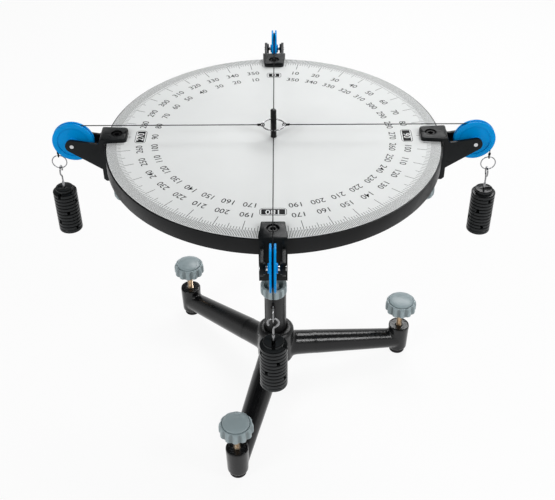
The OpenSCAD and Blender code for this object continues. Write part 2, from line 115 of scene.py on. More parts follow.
class Graph:
    # a node tree; add makes any node and hands back one of its outputs
    def __init__(self, tree):
        self.tree = tree
        tree.nodes.clear()

    def add(self, kind, settings=None, sockets=None, out=0):
        node = self.tree.nodes.new(kind)
        for key, value in (settings or {}).items():
            setattr(node, key, value)
        for key, value in (sockets or {}).items():
            if isinstance(value, Wire):
                self.tree.links.new(value.socket, node.inputs[key])
            else:
                node.inputs[key].default_value = value
        return Wire(self, node.outputs[out]) if len(node.outputs) else None

    def maths(self, operation, *values):
        return self.add("ShaderNodeMath", {"operation": operation}, dict(enumerate(values)))

    def tint(self, factor, first, second):
        return self.add("ShaderNodeMix", {"data_type": "RGBA"}, {0: factor, 6: first, 7: second}, out=2)


class Finish(Graph):
    # one material; look holds the values that are the same all over
    def __init__(self, name, look):
        self.material = bpy.data.materials.new(name)
        self.material.use_nodes = True
        super().__init__(self.material.node_tree)
        surface = self.add("ShaderNodeBsdfPrincipled", None, look)
        self.shader = surface.socket.node
        self.add("ShaderNodeOutputMaterial", None, {0: surface})
        self.place = self.add("ShaderNodeTexCoord", out="Object")

    def noise(self, scale, detail, rough, place=None):
        return self.add("ShaderNodeTexNoise", None, {"Vector": place or self.place, "Scale": scale,
                                                     "Detail": detail, "Roughness": rough})

    def spread(self, value, low, high, start=0.0, end=1.0):
        return self.add("ShaderNodeMapRange", None, {0: value, 1: low, 2: high, 3: start, 4: end})

    def scaled(self, factors):
        return self.add("ShaderNodeVectorMath", {"operation": "MULTIPLY"}, {0: self.place, 1: factors})

    def link(self, socket, wire):
        self.tree.links.new(wire.socket, self.shader.inputs[socket])

    def bump(self, height, strength, distance):
        self.link("Normal", self.add("ShaderNodeBump", None, {"Height": height, "Strength": strength,
                                                              "Distance": distance}))


def shade(red, green, blue):
    return (red, green, blue, 1.0)


# enamel or paint: slow colour drift, uneven gloss and an orange-peel skin
paint = dict(drift=(18.0, 3.0, 0.55), driftRange=(0.35, 0.7), wipe=(70.0, 4.0, 0.6), wipeRange=(0.3, 0.75),
             skin=(2.0, 0.45), wave=(2.0, 0.5), waveScale=0.22, waveShare=0.5, depth=0.0006, coatRough=0.08)


def paintedMetal(name, colour, lighter, rough, peel, strength, gloss, coat=0.0):
    finish = Finish(name, {"Specular IOR Level": gloss, "Coat Weight": coat,
                           "Coat Roughness": paint["coatRough"]})
    drift = finish.spread(finish.noise(*paint["drift"]), *paint["driftRange"])
    finish.link("Base Color", finish.tint(drift, shade(*colour), shade(*lighter)))
    wiped = finish.noise(*paint["wipe"])
    finish.link("Roughness", finish.spread(wiped, *paint["wipeRange"], *rough))
    wave = finish.noise(peel * paint["waveScale"], *paint["wave"])
    finish.bump(finish.noise(peel, *paint["skin"]) + paint["waveShare"] * wave, strength, paint["depth"])
    return finish


# moulding: faint flow marks in the colour, a fine spark-eroded grain and painted shade where it lies deep
moulding = dict(flow=(26.0, 3.0, 0.6), flowRange=(0.3, 0.72), rub=(120.0, 4.0, 0.65), rubRange=(0.3, 0.75),
                skin=(2.0, 0.6), depth=0.0002, dark=0.3)


def mouldedPlastic(name, colour, lighter, rough, grain, strength, gloss, recessShade=0.0):
    finish = Finish(name, {"Specular IOR Level": gloss})
    flow = finish.spread(finish.noise(*moulding["flow"]), *moulding["flowRange"])
    base = finish.tint(flow, shade(*colour), shade(*lighter))
    # painted shade: the colour darkens with the depth of the flute, standing in for shade in the recesses
    if recessShade:
        deep = finish.add("ShaderNodeAttribute", {"attribute_name": "recess"}, out="Fac")
        base = finish.tint(deep * recessShade, base, shade(*[moulding["dark"] * c for c in colour]))
    finish.link("Base Color", base)
    rub = finish.noise(*moulding["rub"])
    finish.link("Roughness", finish.spread(rub, *moulding["rubRange"], *rough))
    finish.bump(finish.noise(grain, *moulding["skin"]), strength, moulding["depth"])
    return finish


# drawn metal: handling stains and a fine grain
drawn = dict(stain=(160.0, 4.0, 0.6), stainRange=(0.45, 0.8), rub=(420.0, 3.0, 0.6), rubRange=(0.3, 0.75),
             skin=(1.0, 2.0, 0.6), depth=0.00008)


def bareMetal(name, colour, darker, rough, grain, strength):
    finish = Finish(name, {"Metallic": 1.0})
    stain = finish.spread(finish.noise(*drawn["stain"]), *drawn["stainRange"])
    finish.link("Base Color", finish.tint(stain, shade(*colour), shade(*darker)))
    rub = finish.noise(*drawn["rub"])
    finish.link("Roughness", finish.spread(rub, *drawn["rubRange"], *rough))
    finish.bump(finish.noise(*drawn["skin"], finish.scaled(grain)), strength, drawn["depth"])
    return finish


enamel = paintedMetal("baseEnamel", (0.004, 0.0042, 0.0046), (0.008, 0.0083, 0.0088), (0.14, 0.26),
                      peel=420.0, strength=0.3, gloss=0.3, coat=0.12)
columnPaint = paintedMetal("columnPaint", (0.007, 0.0071, 0.0074), (0.012, 0.0122, 0.0126), (0.26, 0.4),
                           peel=700.0, strength=0.2, gloss=0.3)
massPaint = paintedMetal("massPaint", (0.017, 0.019, 0.0199), (0.026, 0.0285, 0.0296), (0.12, 0.22),
                         peel=1500.0, strength=0.08, gloss=0.16)
# painted shade for the grooves between stacked masses
gapShadePaint = paintedMetal("gapShadePaint", (0.002, 0.002, 0.0022), (0.004, 0.004, 0.0043), (0.3, 0.45),
                        peel=1500.0, strength=0.08, gloss=0.05)
pinPaint = paintedMetal("pinPaint", (0.0035, 0.0036, 0.0038), (0.007, 0.0071, 0.0074), (0.18, 0.3),
                        peel=1200.0, strength=0.15, gloss=0.16)
clampPlastic = mouldedPlastic("clampPlastic", (0.0045, 0.0058, 0.0064), (0.009, 0.0104, 0.011), (0.22, 0.48),
                              grain=2600.0, strength=0.3, gloss=0.14)
# painted shade: a darker, duller plastic for the inside of the sight pocket and the index groove
sightShadePlastic = mouldedPlastic("sightShadePlastic", (0.003, 0.003, 0.0034), (0.006, 0.006, 0.0064), (0.16, 0.26),
                              grain=2000.0, strength=0.05, gloss=0.07)
padPlastic = mouldedPlastic("padPlastic", (0.014, 0.014, 0.0145), (0.022, 0.022, 0.0225), (0.5, 0.65),
                            grain=1800.0, strength=0.35, gloss=0.3)
pulleyPlastic = mouldedPlastic("pulleyPlastic", (0.0, 0.283, 0.715), (0.0, 0.316, 0.79), (0.16, 0.28),
                               grain=1800.0, strength=0.05, gloss=0.08)
# the knobs' flutes get painted shade from the recess depth
knobPlastic = mouldedPlastic("knobPlastic", (0.29, 0.362, 0.383), (0.35, 0.427, 0.447), (0.29, 0.4),
                             grain=2400.0, strength=0.05, gloss=0.5, recessShade=0.65)
footRubber = mouldedPlastic("footRubber", (0.007, 0.007, 0.0074), (0.012, 0.012, 0.0125), (0.6, 0.78),
                            grain=1400.0, strength=0.5, gloss=0.3)
brightSteel = bareMetal("brightSteel", (0.62, 0.63, 0.64), (0.4, 0.4, 0.41), (0.12, 0.24),
                        grain=(2600.0, 2600.0, 300.0), strength=0.2)
wireSteel = bareMetal("wireSteel", (0.29, 0.292, 0.298), (0.15, 0.15, 0.154), (0.06, 0.14),
                      grain=(1500.0, 1500.0, 1500.0), strength=0.12)
screwBrass = bareMetal("screwBrass", (0.84, 0.69, 0.53), (0.52, 0.37, 0.25), (0.12, 0.24),
                       grain=(2200.0, 2200.0, 500.0), strength=0.2)
boardEdge = paintedMetal("boardEdge", (0.005, 0.0053, 0.0057), (0.01, 0.0104, 0.011), (0.3, 0.46),
                         peel=900.0, strength=0.18, gloss=0.16)
printBlack = mouldedPlastic("printBlack", (0.004, 0.004, 0.0044), (0.009, 0.009, 0.0095), (0.4, 0.55),
                            grain=2200.0, strength=0.1, gloss=0.06)
printWhite = mouldedPlastic("printWhite", (0.82, 0.83, 0.83), (0.88, 0.89, 0.89), (0.4, 0.55),
                            grain=2200.0, strength=0.1, gloss=0.1)
stringFibre = mouldedPlastic("stringFibre", (0.004, 0.004, 0.0044), (0.012, 0.012, 0.0125), (0.7, 0.9),
                             grain=5200.0, strength=0.8, gloss=0.1)
print("finishes made")

# points nearer than this are merged, in millimetres but for the CAD copies in metres; flat is in degrees
joined = dict(lathe=0.0005, ring=0.002, cad=1e-6, flat=0.6)


def put(bm, name, body, finish, hides=(), smooth=35.0, turn=0.0, scale=0.001, second=None):
    # turns a mesh in a station's millimetres to its side, makes it metres and hangs it on its body
    move = Matrix.Rotation(math.radians(turn), 4, "Z") @ Matrix.Scale(scale, 4)
    bmesh.ops.transform(bm, matrix=move, verts=bm.verts)
    mesh = bpy.data.meshes.new(name)
    bm.to_mesh(mesh)
    bm.free()
    mesh.shade_smooth()
    mesh.set_sharp_from_angle(angle=math.radians(smooth))
    mesh.materials.append(finish.material)
    if second:
        mesh.materials.append(second.material)
    piece = bpy.data.objects.new(name, mesh)
    scene.collection.objects.link(piece)
    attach(piece, body)
    if hides:
        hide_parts(*hides)
    return piece


def soften(bm, width, segments=2, least=30.0, where=None):
    # rounds the edges that are sharper than least
    sharp = [e for e in bm.edges if len(e.link_faces) == 2 and e.calc_face_angle() > math.radians(least)
             and (where is None or where(e))]
    bmesh.ops.bevel(bm, geom=sharp, offset=width, offset_type="OFFSET", segments=segments, profile=0.5,
                    affect="EDGES", material=-1, clamp_overlap=True)


def turned(profile, steps, soft=0.0, segments=2, closed=False):
    # a lathe: the profile is a list of (radius, height)
    bm = bmesh.new()
    line = [bm.verts.new((r, 0.0, z)) for r, z in profile]
    edges = [bm.edges.new(pair) for pair in zip(line, line[1:])]
    if closed:
        edges.append(bm.edges.new((line[-1], line[0])))
    bmesh.ops.spin(bm, geom=line + edges, axis=(0, 0, 1), cent=(0, 0, 0), angle=fullTurn, steps=steps,
                   use_merge=True)
    bmesh.ops.remove_doubles(bm, verts=bm.verts, dist=joined["lathe"])
    bmesh.ops.recalc_face_normals(bm, faces=bm.faces)
    if soft:
        soften(bm, soft, segments)
    return bm


# depth and flanks are shares of the pitch
thread = dict(depth=0.62, clear=0.1, flanks=(0.02, 0.42, 0.54, 0.94))


def threaded(bm, outer, pitch, low, high, steps):
    # a right-handed ridge wound round a rod that stands on z
    root = outer - thread["depth"] * pitch - thread["clear"]
    count = round(steps * ((high - low) / pitch - 1.0))
    ridge = zip((root, outer, outer, root), thread["flanks"])
    corners = [bm.verts.new((r, 0.0, low + share * pitch)) for r, share in ridge]
    tooth = bm.faces.new(corners)
    bmesh.ops.spin(bm, geom=[tooth] + list(tooth.edges) + corners, axis=(0, 0, 1), cent=(0, 0, 0),
                   angle=fullTurn * count / steps, steps=count, dvec=(0, 0, pitch / steps))
    bmesh.ops.recalc_face_normals(bm, faces=bm.faces)


def moved(bm, shift=(0, 0, 0), turn=0.0, axis="Z"):
    bmesh.ops.transform(bm, matrix=Matrix.Translation(shift) @ Matrix.Rotation(math.radians(turn), 4, axis),
                        verts=bm.verts)
    return bm


def poured(bm, target):
    # adds one mesh to another
    mesh = bpy.data.meshes.new("poured")
    bm.to_mesh(mesh)
    bm.free()
    target.from_mesh(mesh)
    bpy.data.meshes.remove(mesh)


def ringOf(bm, radius, segments, place, facing):
    # a loop of wire section at a place, looking along facing
    look = Vector((0, 0, 1)).rotation_difference(Vector(facing)).to_matrix().to_4x4()
    made = bmesh.ops.create_circle(bm, cap_ends=False, radius=radius, segments=segments,
                                   matrix=Matrix.Translation(place) @ look)
    return made["verts"] + list({e for v in made["verts"] for e in v.link_edges})


def sweep(bm, geom, axis, cent, degrees, steps, dvec=(0, 0, 0)):
    return bmesh.ops.spin(bm, geom=geom, axis=axis, cent=cent, angle=math.radians(degrees), steps=steps,
                          dvec=dvec)["geom_last"]


def capped(bm):
    # closes the open ends and turns every face outwards
    bmesh.ops.holes_fill(bm, edges=[e for e in bm.edges if e.is_boundary], sides=0)
    bmesh.ops.recalc_face_normals(bm, faces=bm.faces)
    return bm


def copyOf(node, flat=False):
    # a CAD node's mesh in metres, merged; flat joins the triangles of its flat faces
    bm = bmesh.new()
    bm.from_mesh(nodes[node].data)
    bmesh.ops.remove_doubles(bm, verts=bm.verts, dist=joined["cad"])
    if flat:
        bmesh.ops.dissolve_limit(bm, angle_limit=math.radians(joined["flat"]), verts=bm.verts[:],
                                 edges=bm.edges[:])
    return bm


# strings, from the centre ring over each pulley to the link ring; pathSteps are along, over and down
string = dict(d=1.2, lobes=3.0, lobe=0.1, lay=4.4, layStep=8, startX=15.1, height=418.0, ringX=13.0,
              ringLoop=2.1, linkLoop=1.85, tieR=0.58, knotWireR=0.54, knotR=1.0, knotTurns=3.0,
              knotPitch=1.1, knotGap=0.4, sides=12, tieSides=10, loopSteps=36, knotSteps=18, bendSteps=18,
              pathSteps=(15, 12, 6))


def twisted(bm, section, along, cent, run):
    # a straight run of string, turned once in each lay
    count = round(run / string["lay"] * string["layStep"])
    return sweep(bm, section, along, cent, 360.0 * run / string["lay"], count, Vector(along) * (run / count))


def knotRound(bm, start, along, side):
    # a few turns of string wound round itself
    away = Vector(side) * string["knotR"]
    across = Vector(along).cross(Vector(side))
    section = ringOf(bm, string["knotWireR"], string["tieSides"], Vector(start) + away, across)
    steps = round(string["knotSteps"] * string["knotTurns"])
    sweep(bm, section, along, start, 360.0 * string["knotTurns"], steps,
          Vector(along) * string["knotPitch"] * string["knotTurns"] / steps)


def stringTies(side, foot):
    # the loops round both rings and the knots that close them
    linkZ = station["axleZ"] - falls[side]
    s, ties = string, bmesh.new()
    loop = ringOf(ties, s["tieR"], s["tieSides"], (s["ringX"] + s["ringLoop"], 0, s["height"]), (0, 0, 1))
    sweep(ties, loop, (0, 1, 0), (s["ringX"], 0, s["height"]), 360.0, s["loopSteps"])
    loop = ringOf(ties, s["tieR"], s["tieSides"], (station["hangX"], 0, linkZ + s["linkLoop"]), (0, 1, 0))
    sweep(ties, loop, (1, 0, 0), (station["hangX"], 0, linkZ), 360.0, s["loopSteps"])
    bmesh.ops.remove_doubles(ties, verts=ties.verts, dist=joined["ring"])
    knotRound(ties, (s["startX"] + s["knotGap"], 0, s["height"]), (1, 0, 0), (0, 0, 1))
    knotRound(ties, (station["hangX"], 0, foot + s["knotGap"]), (0, 0, 1), (1, 0, 0))
    return capped(ties)


def stringRun(side):
    x0, x1, z1 = string["startX"], station["axleX"], station["axleZ"]
    foot = z1 - falls[side] + string["linkLoop"]
    flat, drop = x1 - x0, z1 - foot
    bm = bmesh.new()
    section = ringOf(bm, string["d"] / 2, string["sides"], (x0, 0, string["height"]), (1, 0, 0))
    for v in [g for g in section if isinstance(g, bmesh.types.BMVert)]:
        y, z = v.co.y, v.co.z - string["height"]
        pull = 1.0 - string["lobe"] * (1.0 - math.cos(string["lobes"] * math.atan2(z, y))) / 2.0
        v.co.y, v.co.z = y * pull, string["height"] + z * pull
    last = twisted(bm, section, (1, 0, 0), (0, 0, string["height"]), flat)
    last = sweep(bm, last, (0, 1, 0), (x1, 0, z1), 90.0, string["bendSteps"])
    twisted(bm, last, (0, 0, -1), (station["hangX"], 0, 0), drop)
    capped(bm)
    # the middle line: along, over the pulley and down
    along, over, down = string["pathSteps"]
    path = [Vector((x0 + flat * k / along, 0, string["height"])) for k in range(along)]
    for k in range(over + 1):
        a = math.radians(90.0 - 90.0 * k / over)
        path.append(Vector((x1 + station["wrapR"] * math.cos(a), 0, z1 + station["wrapR"] * math.sin(a))))
    path += [Vector((station["hangX"], 0, z1 - drop * k / down)) for k in range(1, down + 1)]
    turn = Matrix.Rotation(math.radians(turns[side]), 3, "Z")
    path = [turn @ p * 0.001 for p in path]
    run = put(bm, "stringRun_" + side, "clamp_" + side, stringFibre, ["string_" + side],
              smooth=60.0, turn=turns[side])
    tie = put(stringTies(side, foot), "stringTies_" + side, "clamp_" + side, stringFibre,
              smooth=60.0, turn=turns[side])


for side in turns:
    stringRun(side)

# round board with a softened rim, open for the pin's bush
board = dict(bushR=6.05, bushFloor=384.95, soft=0.6, steps=256)
top = table["dialTop"] - table["sheetT"]
under = top - table["boardT"]
put(turned([(0, under), (table["radius"], under), (table["radius"], top), (board["bushR"], top),
            (board["bushR"], board["bushFloor"]), (0, board["bushFloor"])],
           board["steps"], board["soft"], segments=3),
    "roundBoard", "stand", boardEdge, ["table_board"])

# dial sheet; each row of marks has its inner and outer radius and the width of its lines
dial = dict(hole=3.8, soft=0.25, fine=(186.2, 197.7, 0.56), one=(181.5, 186.2, 0.5),
            five=(177.5, 186.2, 0.55), ten=(170.3, 186.2, 0.65), paper=(0.762, 0.78, 0.776),
            paler=(0.803, 0.82, 0.816), ink=(0.008, 0.008, 0.0085), gloss=0.1, rough=(0.36, 0.5),
            cloud=(9.0, 4.0, 0.55), cloudRange=(0.3, 0.7), rub=(60.0, 4.0, 0.6), rubRange=(0.3, 0.75),
            grain=(1600.0, 2.0, 0.5), strength=0.06, depth=0.0002)


def dialFinish():
    finish = Finish("dialPrint", {"Specular IOR Level": dial["gloss"]})
    x = finish.add("ShaderNodeSeparateXYZ", None, {0: finish.place}, out="X")
    y = x.beside("Y")
    radius = finish.maths("SQRT", x * x + y * y) * 1000.0
    degrees = finish.maths("ARCTAN2", x, y) * (180.0 / math.pi)

    def ticks(every, inner, outer, width):
        away = finish.maths("PINGPONG", degrees, every / 2.0) * radius * (math.pi / 180.0)
        return (away < width / 2.0) * (radius > inner) * (radius < outer)

    ink = (ticks(0.5, *dial["fine"]) | ticks(1.0, *dial["one"])
           | ticks(5.0, *dial["five"]) | ticks(10.0, *dial["ten"]))
    cloud = finish.spread(finish.noise(*dial["cloud"]), *dial["cloudRange"])
    paper = finish.tint(cloud, shade(*dial["paper"]), shade(*dial["paler"]))
    finish.link("Base Color", finish.tint(ink, paper, shade(*dial["ink"])))
    rub = finish.noise(*dial["rub"])
    finish.link("Roughness", finish.spread(rub, *dial["rubRange"], *dial["rough"]))
    finish.bump(finish.noise(*dial["grain"]), dial["strength"], dial["depth"])
    return finish


sheetR = table["radius"] - table["margin"]
put(turned([(dial["hole"], top), (sheetR, top), (sheetR, table["dialTop"]),
            (dial["hole"], table["dialTop"])], board["steps"], dial["soft"], closed=True),
    "dialSheet", "stand", dialFinish(), ["dial_sheet"])

# numbers on the dial: clockwise outside, counter-clockwise inside
numbers = dict(outer=159.3, inner=141.2, extrude=0.01, curveSteps=3)
plain = dict(size=11.2, bold=0.045, lift=0.02)
onPatch = dict(size=11.4, bold=0.05, lift=0.045)
# the four on a patch: radius, width and height of the patch, width and height of the outline round it
boxed = {0: (152.0, 13.8, 8.9, 18.8, 13.4), 180: (152.2, 25.6, 9.8, 29.4, 13.7),
         90: (158.6, 24.0, 9.2, 27.8, 13.2), 270: (158.6, 24.0, 9.2, 27.8, 13.2)}
patch = dict(corner=0.8, outCorner=4.2, line=0.6, lift=0.02, thick=0.02)
writings = []


def onDial(radius, bearing, lift):
    # a place on the dial, its top outwards
    return (Matrix.Rotation(-math.radians(bearing), 4, "Z")
            @ Matrix.Translation((0, radius, table["dialTop"] + lift)))


def figures(target, words, radius, bearing, style):
    # setFigures makes the meshes of all of them at once
    curve = bpy.data.curves.new("figures", "FONT")
    curve.body, curve.size, curve.offset = words, style["size"], style["bold"]
    curve.extrude, curve.resolution_u = numbers["extrude"], numbers["curveSteps"]
    curve.align_x, curve.align_y = "CENTER", "CENTER"
    writing = bpy.data.objects.new("figures", curve)
    scene.collection.objects.link(writing)
    writings.append((target, writing, onDial(radius, bearing, style["lift"])))


def setFigures():
    graph = bpy.context.evaluated_depsgraph_get()
    for target, writing, place in writings:
        mesh = bpy.data.meshes.new_from_object(writing.evaluated_get(graph))
        mesh.transform(place)
        target.from_mesh(mesh)
        bpy.data.meshes.remove(mesh)
    for target, writing, place in writings:
        curve = writing.data
        bpy.data.objects.remove(writing)
        bpy.data.curves.remove(curve)


def plate(target, width, height, corner, radius, bearing, hollow=0.0):
    # a thin printed patch with round corners, or its outline
    bm = bmesh.new()
    bmesh.ops.create_grid(bm, x_segments=1, y_segments=1, size=0.5)
    bmesh.ops.scale(bm, vec=(width, height, 1), verts=bm.verts)
    bmesh.ops.bevel(bm, geom=bm.verts[:], offset=corner, offset_type="OFFSET", segments=5, profile=0.5,
                    affect="VERTICES", material=-1)
    if hollow:
        inner = bmesh.ops.inset_region(bm, faces=bm.faces[:], thickness=hollow, use_boundary=True,
                                       use_even_offset=True)
        rim = set(inner["faces"])
        bmesh.ops.delete(bm, geom=[f for f in bm.faces if f not in rim], context="FACES")
    bmesh.ops.solidify(bm, geom=bm.faces[:], thickness=patch["thick"])
    bmesh.ops.transform(bm, matrix=onDial(radius, bearing, patch["lift"]), verts=bm.verts)
    bmesh.ops.recalc_face_normals(bm, faces=bm.faces)
    poured(bm, target)


black, white = bmesh.new(), bmesh.new()
for bearing in range(10, 360, 10):
    if bearing not in boxed:
        figures(black, str(bearing), numbers["outer"], bearing, plain)
    if bearing != 180:  # the patch there fills both rows
        figures(black, str(360 - bearing), numbers["inner"], bearing, plain)
for bearing, (radius, width, height, outWidth, outHeight) in boxed.items():
    plate(black, width, height, patch["corner"], radius, bearing)
    plate(black, outWidth, outHeight, patch["outCorner"], radius, bearing, hollow=patch["line"])
    figures(white, str(bearing), radius, bearing, onPatch)
setFigures()
put(black, "dialFigures", "stand", printBlack)
put(white, "dialBoxFigures", "stand", printWhite)
print("board and dial made")

# centre pin with a round edge and a slightly crowned top
pin = dict(r=3.5, foot=387.05, top=439.0, round=1.7, crown=0.25, soft=0.3, arcSteps=6, steps=40)
edge = []
for k in range(pin["arcSteps"] + 1):
    a = math.pi / 2 * k / pin["arcSteps"]
    edge.append((pin["r"] - pin["round"] * (1 - math.cos(a)),
                 pin["top"] - pin["crown"] - pin["round"] * (1 - math.sin(a))))
put(turned([(0, pin["foot"]), (pin["r"], pin["foot"])] + edge + [(0, pin["top"])],
           pin["steps"], pin["soft"]),
    "centrePin", "centre_pin", pinPaint, ["centre_pin"])

centreRing = dict(d=26.0, wire=1.8, sides=14, steps=72)


def wireRing(ring):
    bm = bmesh.new()
    section = ringOf(bm, ring["wire"] / 2, ring["sides"], (ring["d"] / 2, 0, 0), (0, 1, 0))
    sweep(bm, section, (0, 0, 1), (0, 0, 0), 360.0, ring["steps"])
    bmesh.ops.remove_doubles(bm, verts=bm.verts, dist=joined["ring"])
    bmesh.ops.recalc_face_normals(bm, faces=bm.faces)
    return bm


put(moved(wireRing(centreRing), (0, 0, string["height"])), "centreRing", "centre_ring", wireSteel,
    ["centre_ring"], smooth=80.0)

# stand: column, cast base, levelling screws
column = dict(r=15.0, bore=12.5, foot=46.05, top=373.45, soft=0.4, steps=72)
put(turned([(column["bore"], column["foot"]), (column["r"], column["foot"]), (column["r"], column["top"]),
            (column["bore"], column["top"])], column["steps"], column["soft"], closed=True),
    "columnTube", "stand", columnPaint, ["column"])

# in metres: the legs' corners are rounded between hubR and hubReach, and the hub is duller above hubTop
casting = dict(voxel=0.0013, smooth=7, factor=0.5, hubR=0.026, hubReach=0.058, hubSmooth=40, hubTop=0.086)


def castBase():
    mesh = bpy.data.meshes.new("castRough")
    bm = copyOf("tripod_base")
    bm.to_mesh(mesh)
    bm.free()
    rough = bpy.data.objects.new("castRough", mesh)
    scene.collection.objects.link(rough)
    skin = rough.modifiers.new("skin", "REMESH")
    skin.mode, skin.voxel_size = "VOXEL", casting["voxel"]
    ease = rough.modifiers.new("ease", "SMOOTH")
    ease.factor, ease.iterations = casting["factor"], casting["smooth"]
    done = bpy.data.meshes.new_from_object(rough.evaluated_get(bpy.context.evaluated_depsgraph_get()))
    bpy.data.objects.remove(rough)
    bpy.data.meshes.remove(mesh)
    bm = bmesh.new()
    bm.from_mesh(done)
    bpy.data.meshes.remove(done)
    hub = [v for v in bm.verts if casting["hubR"] < math.hypot(v.co.x, v.co.y) < casting["hubReach"]]
    for k in range(casting["hubSmooth"]):
        bmesh.ops.smooth_vert(bm, verts=hub, factor=casting["factor"], use_axis_x=True, use_axis_y=True,
                              use_axis_z=True)
    for face in bm.faces:
        face.material_index = 1 if face.calc_center_median().z > casting["hubTop"] else 0
    put(bm, "castBase", "stand", enamel, ["tripod_base"], smooth=70.0, scale=1.0,
        second=columnPaint)


castBase()

# fluted knobs; skirt, dome and roof are measured down from the top, the profiles are (in from the edge, up)
knob = dict(flutes=12, root=0.445, blend=0.28, skirt=4.0, dome=2.5, roof=5.0, side=0.6, boss=2.5,
            bossFoot=0.6, wall=2.2, wallFoot=(1.8, 0.4), belt=0.6, lip=0.35, clear=3.0, shallow=0.5,
            fluteSteps=10, arcSteps=8, domeSteps=7,
            rim=((0.9, 0.0), (0.45, 0.35), (0.1, 1.0), (0.0, 1.8)),
            groove=((0.1, -0.15), (0.45, -1.0), (0.8, -1.0), (0.8, 0.25), (0.7, 0.5)),
            capEdge=((0.7, -0.7), (0.85, -0.25), (1.3, 0.1)))


def fluted(ring, flute, root, radius, recess):
    # pulls a ring of points in to rounded flutes and notes how deep each lies
    middle, r, soft, half = root + flute / 2, flute / 2, knob["blend"], math.pi / knob["flutes"]
    for v in ring:
        bearing = math.atan2(v.co.y, v.co.x)
        off = (bearing + half) % (2 * half) - half
        near = radius + knob["clear"]  # away from the flute
        if abs(middle * math.sin(off)) < r:
            near = middle * math.cos(off) - math.sqrt(r * r - (middle * math.sin(off)) ** 2)
        out = -soft * math.log(math.exp(-radius / soft) + math.exp(-near / soft))
        v.co.x, v.co.y = out * math.cos(bearing), out * math.sin(bearing)
        v[recess] = min(1.0, max(0.0, (radius - out) / max(radius - root, knob["shallow"])))


def flutedKnob(d, capD, h, screwR, flute):
    # knob with its open rim at z = 0 and its domed cap up; a ring is (radius, height, fluted)
    outR, capR, root = d / 2, capD / 2, knob["root"] * d
    skirtTop, capTop, roof = h - knob["skirt"], h - knob["dome"], h - knob["roof"]
    side, bossR, wallR = knob["side"] * skirtTop, screwR + knob["boss"], root - knob["wall"]
    footIn, footZ = knob["wallFoot"]
    rings = [(screwR, roof, 0), (screwR, knob["bossFoot"], 0), (bossR, knob["bossFoot"], 0),
             (bossR, roof, 0), (wallR, roof, 0), (wallR, footZ, 0), (root - footIn, 0.0, 0)]
    rings += [(outR - inset, z, 1) for inset, z in knob["rim"]]
    rings += [(outR, side * knob["belt"], 1), (outR, side, 1)]
    lipR = capR + knob["lip"]
    for k in range(1, knob["arcSteps"] + 1):
        a = math.radians(90.0 * k / knob["arcSteps"])
        rings.append((lipR + (outR - lipR) * math.cos(a), side + (skirtTop - side) * math.sin(a), 1))
    rings += [(capR - inset, skirtTop + z, 0) for inset, z in knob["groove"]]
    rings += [(capR - inset, capTop + z, 0) for inset, z in knob["capEdge"]]
    edgeR, domeR = rings[-1][0], (capR * capR + knob["dome"] ** 2) / (2 * knob["dome"])
    for k in range(1, knob["domeSteps"]):
        r = edgeR * (1 - k / knob["domeSteps"])
        rings.append((r, h - domeR + math.sqrt(domeR * domeR - r * r), 0))
    bm = bmesh.new()
    recess = bm.verts.layers.float.new("recess")
    loop = ringOf(bm, rings[0][0], knob["flutes"] * knob["fluteSteps"], (0, 0, rings[0][1]), (0, 0, 1))
    edges = [g for g in loop if isinstance(g, bmesh.types.BMEdge)]
    for r, z, wavy in rings[1:]:
        made = bmesh.ops.extrude_edge_only(bm, edges=edges)["geom"]
        ring = [g for g in made if isinstance(g, bmesh.types.BMVert)]
        edges = [g for g in made if isinstance(g, bmesh.types.BMEdge)]
        for v in ring:
            bearing = math.atan2(v.co.y, v.co.x)
            v.co = (r * math.cos(bearing), r * math.sin(bearing), z)
            v[recess] = 0.0
        if wavy:
            fluted(ring, flute, root, r, recess)
    crown = bmesh.ops.extrude_edge_only(bm, edges=edges)["geom"]
    bmesh.ops.pointmerge(bm, verts=[g for g in crown if isinstance(g, bmesh.types.BMVert)],
                         merge_co=(0, 0, h))
    return capped(bm)


# levelling screws stand in their pads, which stand on the floor
levelling = dict(screwR=4.0, pitch=1.25, coreR=3.15, tipR=3.0, foot=1.5, shoulder=6.1, top=92.4,
                 thread=(6.4, 92.3), soft=0.25, rim=80.0, knobD=44.0, capD=36.0, knobH=19.0, flute=8.0,
                 boreGap=0.05, steps=24)
footPad = dict(r=11.0, h=6.0, boreR=3.05, floor=1.45, step=2.2, slope=2.6, waist=0.6, soft=0.35, steps=56)
s, p = levelling, footPad
knobMesh = flutedKnob(s["knobD"], s["capD"], s["knobH"], s["screwR"] + s["boreGap"], s["flute"])
screwMesh = turned([(0, s["foot"]), (s["tipR"], s["foot"]), (s["tipR"], s["shoulder"]),
                    (s["coreR"], s["shoulder"]), (s["coreR"], s["top"]), (0, s["top"])],
                   s["steps"], s["soft"])
threaded(screwMesh, s["screwR"], s["pitch"], *s["thread"], s["steps"])
for n in (1, 2, 3):
    at = legs["first"] + 120.0 * (n - 1)
    foot = (legs["radius"], 0, 0)
    put(moved(knobMesh.copy(), (legs["radius"], 0, s["rim"])), f"levelKnob_{n}", f"level_screw_{n}",
        knobPlastic, [f"level_knob_{n}"], smooth=32.0, turn=at)
    put(moved(screwMesh.copy(), foot), f"levelScrew_{n}", f"level_screw_{n}", screwBrass,
        [f"level_screw_{n}"], smooth=40.0, turn=at)
    pad = turned([(p["boreR"], p["floor"]), (0, p["floor"]), (0, 0.0), (p["r"], 0), (p["r"], p["step"]),
                  (p["r"] - p["waist"], p["slope"]), (p["r"] - p["waist"], p["h"]), (p["boreR"], p["h"])],
                 p["steps"], p["soft"], closed=True)
    put(moved(pad, foot), f"footPad_{n}", f"foot_{n}", footRubber, [f"foot_pad_{n}"], turn=at)
print("stand made")

# pulleys and axles
pulley = dict(r=25.0, half=3.5, hubR=5.5, hubHalf=5.25, web=2.3, rimIn=19.0, groove=20.4, mouth=1.3,
              floor=1.0, bore=2.55, soft=0.45, steps=96)
axle = dict(r=2.5, half=13.6, soft=0.35, steps=32)


